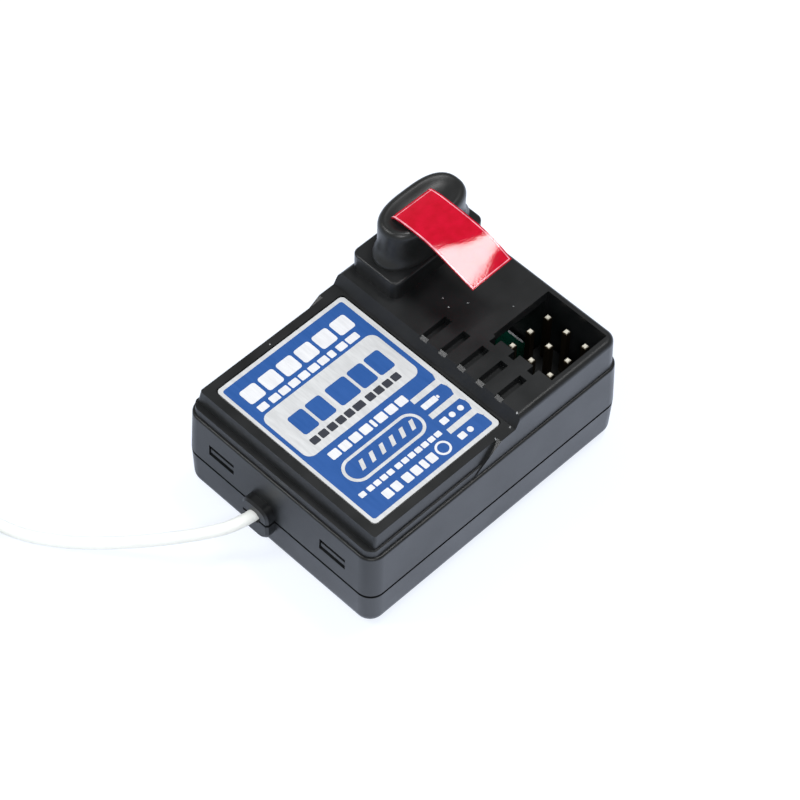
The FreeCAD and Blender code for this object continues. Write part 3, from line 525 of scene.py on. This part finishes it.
def floor_material():
    """Pale floor that reads as white to the camera and in gloss, and keeps the object's shadow; in gloss
    its glow is held back on the -X side, a painted shade.
    """
    m = new_material("floor")
    path = m.add("ShaderNodeLightPath")
    plain = m.add("ShaderNodeBsdfDiffuse", Color=(*FLOOR_PLAIN, 1)).outputs[0]
    white = m.lit_and_glowing(SEEN_LIT, SEEN_GLOW)
    away = m.add("ShaderNodeVectorMath", operation="LENGTH")
    m.link(m.place(), away.inputs[0])
    fade = m.span(away.outputs["Value"], 1.0, GLOSS_FAR, mm(GLOSS_FADE[0]), mm(GLOSS_FADE[1]))
    # Painted shade: the floor's glow in gloss is held back on the -X side of the case, so that the walls
    # there reflect it darker
    along = m.add("ShaderNodeVectorMath", operation="DOT_PRODUCT")
    along.inputs[1].default_value = GLOSS_SHADE_WAY
    m.link(m.place(), along.inputs[0])
    beside = m.span(along.outputs["Value"], 0.0, 1.0, mm(GLOSS_SHADE_EDGE[0]), mm(GLOSS_SHADE_EDGE[1]))
    in_gloss = m.lit_and_glowing(GLOSS_LIT, GLOSS_GLOW, m.math("MULTIPLY", fade, beside))
    through = m.either(path.outputs["Is Transmission Ray"], plain, white)
    gloss = m.either(path.outputs["Is Glossy Ray"], through, in_gloss)
    m.link(m.either(path.outputs["Is Camera Ray"], gloss, white), m.out.inputs["Surface"])
    return m.owner


def make_floor():
    """Floor that reaches past every view."""
    bm = bmesh.new()
    bmesh.ops.create_grid(bm, x_segments=1, y_segments=1, size=mm(FLOOR_HALF))
    floor = dress(from_bmesh("floor", bm), floor_material())


def make_world():
    """Surround that is bright low down and greyer overhead in gloss, and a soft level of light."""
    m = Nodes(bpy.data.worlds.new("world"), "ShaderNodeOutputWorld")
    path = m.add("ShaderNodeLightPath")
    soft = m.add("ShaderNodeBackground", Color=(*SOFT_COLOUR, 1), Strength=SOFT_LEVEL)
    way = m.add("ShaderNodeTexCoord").outputs["Generated"]
    sky = m.span(m.height(way), *SKY_LEVELS, *SKY_HEIGHTS)
    shown = m.add("ShaderNodeBackground")
    m.link(m.math("MAXIMUM", sky, path.outputs["Is Camera Ray"]), shown.inputs["Strength"])
    seen = m.math("MAXIMUM", path.outputs["Is Camera Ray"], path.outputs["Is Glossy Ray"])
    seen = m.math("MAXIMUM", seen, path.outputs["Is Transmission Ray"])
    m.link(m.either(seen, soft.outputs[0], shown.outputs[0]), m.out.inputs["Surface"])
    bpy.context.scene.world = m.owner


# Antenna

def coil_middle():
    """Middle of the coil in the plane of the table, beside the route's end, and the way to it."""
    before = Vector(ROUTE[-2][:2])
    end = Vector(ROUTE[-1][:2])
    run = end - before
    across = Vector((-run.y, run.x)).normalized()
    bundle = COIL_LAYERS * WIRE
    return end + across * ((COIL_ACROSS + bundle + WIRE) / 2), across


def coil_points():
    """Turns of the coil, side by side and layer on layer, wound on from the route's end."""
    centre, across = coil_middle()
    start = math.atan2(-across.y, -across.x)
    tighten = 1 / math.cos(math.pi / COIL_STEPS)
    slots = []
    for layer in range(COIL_LAYERS):
        places = [1, 0, -1] if layer % 2 == 0 else [-1, 0, 1]
        for place in places:
            slots.append((COIL_ACROSS / 2 + place * WIRE, ROUTE[-1][2] + layer * WIRE))
    points = []
    ease = COIL_STEPS // 4
    radius, height = COIL_ACROSS / 2 + 2 * WIRE, ROUTE[-1][2]
    for slot_radius, slot_height in slots:
        for step in range(COIL_STEPS):
            share = min(1, step / ease)
            r = radius + (slot_radius - radius) * share
            z = height + (slot_height - height) * share
            angle = start + 2 * math.pi * (len(points) + 1) / COIL_STEPS
            x = centre.x + r * tighten * math.cos(angle)
            y = centre.y + r * tighten * math.sin(angle)
            points.append((x, y, z))
        radius, height = slot_radius, slot_height
    return points


def make_antenna(material):
    points = ROUTE + coil_points()
    curve = bpy.data.curves.new("antenna", "CURVE")
    curve.dimensions = "3D"
    curve.bevel_depth = mm(WIRE / 2)
    curve.bevel_resolution = 6
    curve.resolution_u = 8
    curve.use_fill_caps = True
    spline = curve.splines.new("NURBS")
    spline.points.add(len(points) - 1)
    for control, point in zip(spline.points, points):
        control.co = (*mm(*point), 1)
    spline.order_u = 3
    spline.use_endpoint_u = True
    antenna = add_piece(dress(new_object("antenna", curve), material))
    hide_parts("antenna_wire", "antenna_coil")


# Flat shapes

def bridge(bm, lower, upper):
    """Faces between two rings of as many points."""
    for i in range(len(lower)):
        j = (i + 1) % len(lower)
        bm.faces.new((lower[i], lower[j], upper[j], upper[i]))


def round_rectangle(x0, x1, y0, y1, radius, steps=6):
    """Outline of a rectangle with round corners."""
    points = []
    corners = [
        (x1 - radius, y1 - radius, 0),
        (x0 + radius, y1 - radius, 90),
        (x0 + radius, y0 + radius, 180),
        (x1 - radius, y0 + radius, 270),
    ]
    for cx, cy, start in corners:
        for i in range(steps + 1):
            angle = math.radians(start + 90 * i / steps)
            points.append((cx + radius * math.cos(angle), cy + radius * math.sin(angle)))
    return points


def flat_shape(name, outlines, bottom, top, material):
    """Thin plates with the given outlines."""
    bm = bmesh.new()
    for outline in outlines:
        low = [bm.verts.new(mm(x, y, bottom)) for x, y in outline]
        high = [bm.verts.new(mm(x, y, top)) for x, y in outline]
        bm.faces.new(high)
        bm.faces.new(list(reversed(low)))
        bridge(bm, low, high)
    bmesh.ops.recalc_face_normals(bm, faces=bm.faces)
    add_piece(dress(from_bmesh(name, bm), material))


# Label

def blocks_of(widths, x0, x1, y0, y1, gap, radius):
    """Row of blocks with the given shares of its room, and a wider gap at each zero."""
    outlines = []
    room = (x1 - x0) - gap * (len(widths) - 1)
    x = x0
    for width in widths:
        wide = room * width / sum(widths)
        if width:
            outlines.append(round_rectangle(x, x + wide, y0, y1, radius, 3))
        x += wide + gap
    return outlines


def ring(cx, cy, radius, line, steps=20):
    """Ring in pieces, as a list of outlines."""
    outlines = []
    for i in range(steps):
        a0, a1 = 2 * math.pi * i / steps, 2 * math.pi * (i + 1) / steps
        corners = ((radius, a0), (radius, a1), (radius - line, a1), (radius - line, a0))
        outlines.append([(cx + r * math.cos(a), cy + r * math.sin(a)) for r, a in corners])
    return outlines


def channel_bars():
    """Bars between the channels' fields, which widen where they join the label's border."""
    return [[(x, top + y) for x, y in BAR_OUTLINE] for top in BAR_TOPS]


def channel_marks():
    """Block and round pips in two channels' fields, and a battery in the third."""
    outlines = []
    start, end, half, corner = CHANNEL_BLOCK
    for y, count in PIP_ROWS:
        for i in range(count):
            x = PIP_START + PIP_SPACING * i
            outlines.append(round_rectangle(x, x + PIP_WIDTH, y - PIP_HALF, y + PIP_HALF, PIP_CORNER, 5))
        outlines.append(round_rectangle(start, end, y - half, y + half, corner, 3))
    return outlines + [round_rectangle(*shape, 3) for shape in BATTERY]


def slanted_marks():
    """Row of slanted marks on the plaque."""
    low, high = MARK_EDGES
    outlines = []
    for i in range(MARK_COUNT):
        x = MARK_START + i * MARK_SPACING
        ends = [(x, low), (x + MARK_WIDTH, low)]
        outlines.append(ends + [(a + MARK_LEAN, high) for a, _ in reversed(ends)])
    return outlines


def make_label(blue, silver, white, dark):
    """Print of the label, in layers on its plate."""
    def put(name, outlines, layer, material):
        placed = [[(LABEL_LOW[0] + x, y) for x, y in outline] for outline in outlines]
        bottom = LABEL_HIGH[2] + layer * PRINT
        flat_shape(name, placed, bottom, bottom + PRINT, material)

    put("label_field", [round_rectangle(*LABEL_FIELD)], 0, blue)
    put("label_panel", [round_rectangle(*LABEL_PANEL, 8)], 1, silver)
    put("label_bars", channel_bars(), 1, silver)
    put("label_marks", sum([blocks_of(*row) for row in WHITE_ROWS], []), 1, white)
    put("label_ring", ring(*RING), 1, white)
    put("label_plaque", [round_rectangle(*LABEL_PLAQUE, 10)], 1, silver)
    put("label_pips", channel_marks(), 1, white)
    put("panel_blocks", blocks_of(*PANEL_BOLD_ROW), 2, blue)
    put("panel_line", blocks_of(*PANEL_FINE_ROW), 2, dark)
    put("plaque_field", [round_rectangle(*PLAQUE_FIELD, 10)], 2, blue)
    put("plaque_marks", slanted_marks(), 3, silver)


def make_board_glint(material):
    """Painted reflection: a thin white line at the board's edge, which shows in the pocket."""
    x0, x1 = [BOARD_HIGH[0] - inset for inset in BOARD_GLINT_INSETS]
    y0, y1 = BOARD_GLINT_ENDS
    outline = [(x0, y0), (x1, y0), (x1, y1), (x0, y1)]
    flat_shape("board_edge_glint", [outline], BOARD_HIGH[2], BOARD_HIGH[2] + PRINT, material)


def make_dust_and_glints(material):
    """Flat pale lumps, each with a ragged outline: dusty specks, and specks at corners that are painted
    glints.
    """
    bm = bmesh.new()
    for number, (x, y, z, half_length, half_width, turn) in enumerate(SPECKS_AND_GLINTS):
        c, s = math.cos(math.radians(turn)), math.sin(math.radians(turn))
        rim = []
        for i in range(SPECK_SIDES):
            angle = 2 * math.pi * i / SPECK_SIDES
            ragged = 1 + SPECK_RAGGED * math.sin(3.7 * i + number)
            u = half_length * ragged * math.cos(angle)
            v = half_width * ragged * math.sin(angle)
            rim.append(bm.verts.new(mm(x + u * c - v * s, y + u * s + v * c, z)))
        top = bm.verts.new(mm(x, y, z + half_width * SPECK_RISE))
        for i in range(SPECK_SIDES):
            bm.faces.new((rim[i], rim[(i + 1) % SPECK_SIDES], top))
        bm.faces.new(list(reversed(rim)))
    add_piece(dress(from_bmesh("dust_and_glint_specks", bm), material))


# Crystal cap

def bulged_outline(half_length, half_width):
    """Outline with bulging sides and full round ends, about the crystal's middle."""
    along, across = CAP_BULGE
    points = []
    for i in range(CAP_STEPS):
        angle = 2 * math.pi * i / CAP_STEPS
        c, s = math.cos(angle), math.sin(angle)
        x = half_length * math.copysign(abs(c) ** (2 / along), c)
        y = half_width * math.copysign(abs(s) ** (2 / across), s)
        points.append((CRYSTAL_X + x, CRYSTAL_Y + y))
    return points


def can_outline():
    """Outline of the crystal's can, with half round ends."""
    half_length, half_width = CAN_HALF
    points = []
    for i in range(CAP_STEPS):
        angle = 2 * math.pi * (i + 0.5) / CAP_STEPS
        c, s = math.cos(angle), math.sin(angle)
        x = half_width * c + math.copysign(half_length - half_width, c)
        points.append((CRYSTAL_X + x, CRYSTAL_Y + half_width * s))
    return points


def cap_ring(bm, half_length, half_width, rise):
    """Ring of the cap's outside, which rises a little on its far side above the neck."""
    lean = CAP_LEAN * max(0, rise - CAP_NECK) / (CAP_RINGS[-1][2] - CAP_NECK)
    verts = []
    for x, y in bulged_outline(half_length, half_width):
        far = max(0, y - CRYSTAL_Y) / CAP_RINGS[0][1]
        verts.append(bm.verts.new(mm(x, y, CAP_LOW[2] + rise + lean * far)))
    return verts


def make_cap(material):
    """Cap of the crystal: flared foot, round rim and dished top, hollow below for the can."""
    bm = bmesh.new()
    rings = [[bm.verts.new(mm(x, y, z)) for x, y in can_outline()] for z in (CAN_TOP, CAP_LOW[2])]
    rings += [cap_ring(bm, *size) for size in CAP_RINGS]
    for lower, upper in zip(rings, rings[1:]):
        bridge(bm, lower, upper)
    bm.faces.new(rings[0])
    bm.faces.new(rings[-1])
    bmesh.ops.recalc_face_normals(bm, faces=bm.faces)
    cap = add_piece(dress(from_bmesh("cap_cover", bm, True), material))
    cap.data.set_sharp_from_angle(angle=math.radians(CAP_SHARP))
    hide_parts("crystal_cap")


# Pull tab

def spline_at(values, t):
    """Smooth curve through evenly numbered values."""
    last = len(values) - 1
    i = min(int(t), last - 1)
    f = t - i
    a, b = values[i], values[i + 1]
    before = values[max(i - 1, 0)]
    after = values[min(i + 2, last)]
    slope_a = (b - before) / 2
    slope_b = (after - a) / 2
    return (a * (2 * f ** 3 - 3 * f ** 2 + 1) + slope_a * (f ** 3 - 2 * f ** 2 + f)
            + b * (3 * f ** 2 - 2 * f ** 3) + slope_b * (f ** 3 - f ** 2))


def tab_surface(u, t, lift):
    """Point of the tab: u runs across it from 0 to 1, t along its line, lift is off its lower side."""
    ys, lefts, rights = zip(*TAB_LINE)

    def at(v):
        left, right = spline_at(lefts, v), spline_at(rights, v)
        return Vector((CRYSTAL_Y + spline_at(ys, v), CAP_HIGH[2] + left + (right - left) * u))

    here = at(t)
    run = at(min(t + 0.05, len(TAB_LINE) - 1)) - at(max(t - 0.05, 0))
    off = Vector((run.y, -run.x)).normalized() * lift
    x = TAB_LOW[0] + (TAB_HIGH[0] - TAB_LOW[0]) * u
    return mm(x, here.x + off.x, here.y + off.y)


def tab_sheet(name, across, along, low, high, film, edge):
    """Strip of film between two heights off the tab's lower side."""
    bm = bmesh.new()
    lower, upper = [[[bm.verts.new(tab_surface(u, t, lift)) for u in across] for t in along]
                    for lift in (low, high)]
    last_u, last_t = len(across) - 1, len(along) - 1
    for t in range(last_t):
        for u in range(last_u):
            bm.faces.new((upper[t][u], upper[t][u + 1], upper[t + 1][u + 1], upper[t + 1][u]))
            bm.faces.new((lower[t][u], lower[t + 1][u], lower[t + 1][u + 1], lower[t][u + 1]))
    sides = []
    for t in range(last_t):
        for u in (0, last_u):
            sides.append(bm.faces.new((lower[t][u], lower[t + 1][u], upper[t + 1][u], upper[t][u])))
    for u in range(last_u):
        for t in (0, last_t):
            sides.append(bm.faces.new((lower[t][u], lower[t][u + 1], upper[t][u + 1], upper[t][u])))
    for face in sides:
        face.material_index = 1
    bmesh.ops.recalc_face_normals(bm, faces=bm.faces)
    sheet = add_piece(dress(from_bmesh(name, bm, True), film, edge))
    sheet.data.set_sharp_from_angle(angle=math.radians(TAB_SHARP))
    return sheet


def steps_between(start, end, count):
    return [start + (end - start) * i / count for i in range(count + 1)]


def make_tab(film, edge):
    """Red pull tab, with the pale seam that runs round it near its edges."""
    last = len(TAB_LINE) - 1
    across = steps_between(0, 1, TAB_CELLS[0])
    along = steps_between(0, last, TAB_CELLS[1])
    sheet = tab_sheet("tab_film", across, along, 0, TAB_THICKNESS, film, edge)
    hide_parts("pull_tab")
    length = steps_between(SEAM_START, last - SEAM_STOP, 60)
    width = steps_between(*SEAM_SIDES, 4)
    seams = {
        "tab_seam_left": (SEAM_LEFT, length),
        "tab_seam_right": (SEAM_RIGHT, length),
        "tab_seam_root": (width, SEAM_ROOT),
        "tab_seam_end": (width, (last - SEAM_END, last - SEAM_STOP)),
    }
    low, high = TAB_THICKNESS - SEAM_SUNK, TAB_THICKNESS + SEAM_PROUD
    for name, (seam_across, seam_along) in seams.items():
        tab_sheet(name, seam_across, seam_along, low, high, edge, edge)


# Materials

case_black = moulded_plastic(
    "case_black", (0.006, 0.007, 0.0075), (0.011, 0.012, 0.013), (0.33, 0.41), relief=0.08)
soft_black = moulded_plastic(
    "soft_black", (0.009, 0.010, 0.010), (0.014, 0.015, 0.015), (0.24, 0.36), 7000, 0.1)
cap_black = moulded_plastic(
    "cap_black", (0.010, 0.011, 0.011), (0.016, 0.017, 0.017), (0.32, 0.44), 7000)
board_green = moulded_plastic(
    "board_green", (0.003, 0.045, 0.028), (0.005, 0.09, 0.055), (0.22, 0.32), 3000)
wire_white = moulded_plastic(
    "wire_white", (0.90, 0.92, 0.89), (0.95, 0.97, 0.94), (0.32, 0.42), 5000, relief=0.03)
pale_plastic = moulded_plastic(
    "pale_plastic", (0.60, 0.57, 0.48), (0.70, 0.67, 0.58), (0.45, 0.55), 5000)
ferrite = moulded_plastic(
    "ferrite", (0.035, 0.032, 0.03), (0.06, 0.055, 0.05), (0.55, 0.7), 8000, relief=0.2)
filter_tan = moulded_plastic(
    "filter_tan", (0.42, 0.22, 0.07), (0.52, 0.30, 0.10), (0.25, 0.4), 4000)
rubber = moulded_plastic(
    "rubber", (0.02, 0.02, 0.02), (0.035, 0.035, 0.035), (0.6, 0.75), 6000)
chip_ceramic = moulded_plastic(
    "chip_ceramic", (0.24, 0.16, 0.09), (0.32, 0.23, 0.14), (0.5, 0.65), 7000)
# Pale grey of the dust specks, and of the specks that are painted glints
dust_and_glint = moulded_plastic(
    "dust_and_glint", (0.30, 0.31, 0.32), (0.45, 0.46, 0.47), (0.3, 0.5), 6000)

tab_red = glossy_film("tab_red", (0.50, 0.001, 0.016), (0.58, 0.002, 0.024), (0.03, 0.06))
tab_edge = glossy_film("tab_edge", (0.70, 0.20, 0.27), (0.88, 0.42, 0.48), (0.12, 0.22))

gold = metal("gold", (0.92, 0.76, 0.42), (0.18, 0.32), (1, 1, 0.2))
tinned = metal("tinned", (0.78, 0.78, 0.77), (0.25, 0.4), (1, 1, 0.3))
can_steel = metal("can_steel", (0.72, 0.72, 0.71), (0.25, 0.38), (0.2, 1, 1))
sleeve = metal("sleeve", (0.66, 0.67, 0.68), (0.3, 0.45), (1, 1, 0.2))
# The pins' dark shafts are painted shade; only their tips show the pale gold
pin_gold = pin_metal("pin_gold", (0.08, 0.06, 0.035), (0.84, 0.80, 0.68))

foil_silver = printed_foil("foil_silver", (0.72, 0.73, 0.74), 0.15, deeper=0.86)
foil_blue = printed_foil("foil_blue", (0.010, 0.090, 0.345), 0.0)
foil_white = printed_foil("foil_white", (0.82, 0.83, 0.86), 0.05)
foil_dark = printed_foil("foil_dark", (0.03, 0.035, 0.05), 0.0, (0.4, 0.5))

LOOKS = {
    case_black: ["bottom_case", "top_case"],
    soft_black: ["header_block", "crystal_cap", "crystal_socket", "receiver_chip", "decoder_chip",
                 "regulator", "coil_tie"],
    foil_silver: ["label_plate"],
    board_green: ["circuit_board"],
    pin_gold: ["battery_pins", "channel_2_pins", "channel_1_pins"],
    gold: ["socket_contacts"],
    tab_red: ["pull_tab"],
    can_steel: ["crystal_can", "tuning_cans"],
    tinned: ["crystal_leads", "receiver_chip_legs", "decoder_chip_legs", "regulator_legs",
             "antenna_conductor", "antenna_solder"],
    sleeve: ["capacitor_cans"],
    pale_plastic: ["tuning_bases"],
    ferrite: ["tuning_cores"],
    filter_tan: ["ceramic_filter"],
    rubber: ["capacitor_bungs"],
    chip_ceramic: ["chip_resistors", "chip_capacitors"],
}

# Scene

place_camera()
make_world()
make_floor()
for lamp in LAMPS:
    area_light(*lamp)
for look, nodes in LOOKS.items():
    for node in nodes:
        dress(bpy.data.objects[node], look)

make_antenna(wire_white)
make_cap(cap_black)
make_tab(tab_red, tab_edge)
make_label(foil_blue, foil_silver, foil_white, foil_dark)
# Painted reflection at the board's edge, in the white of the label's print
make_board_glint(foil_white)
# Specks of dust, and four pale specks that are painted glints at corners
make_dust_and_glints(dust_and_glint)
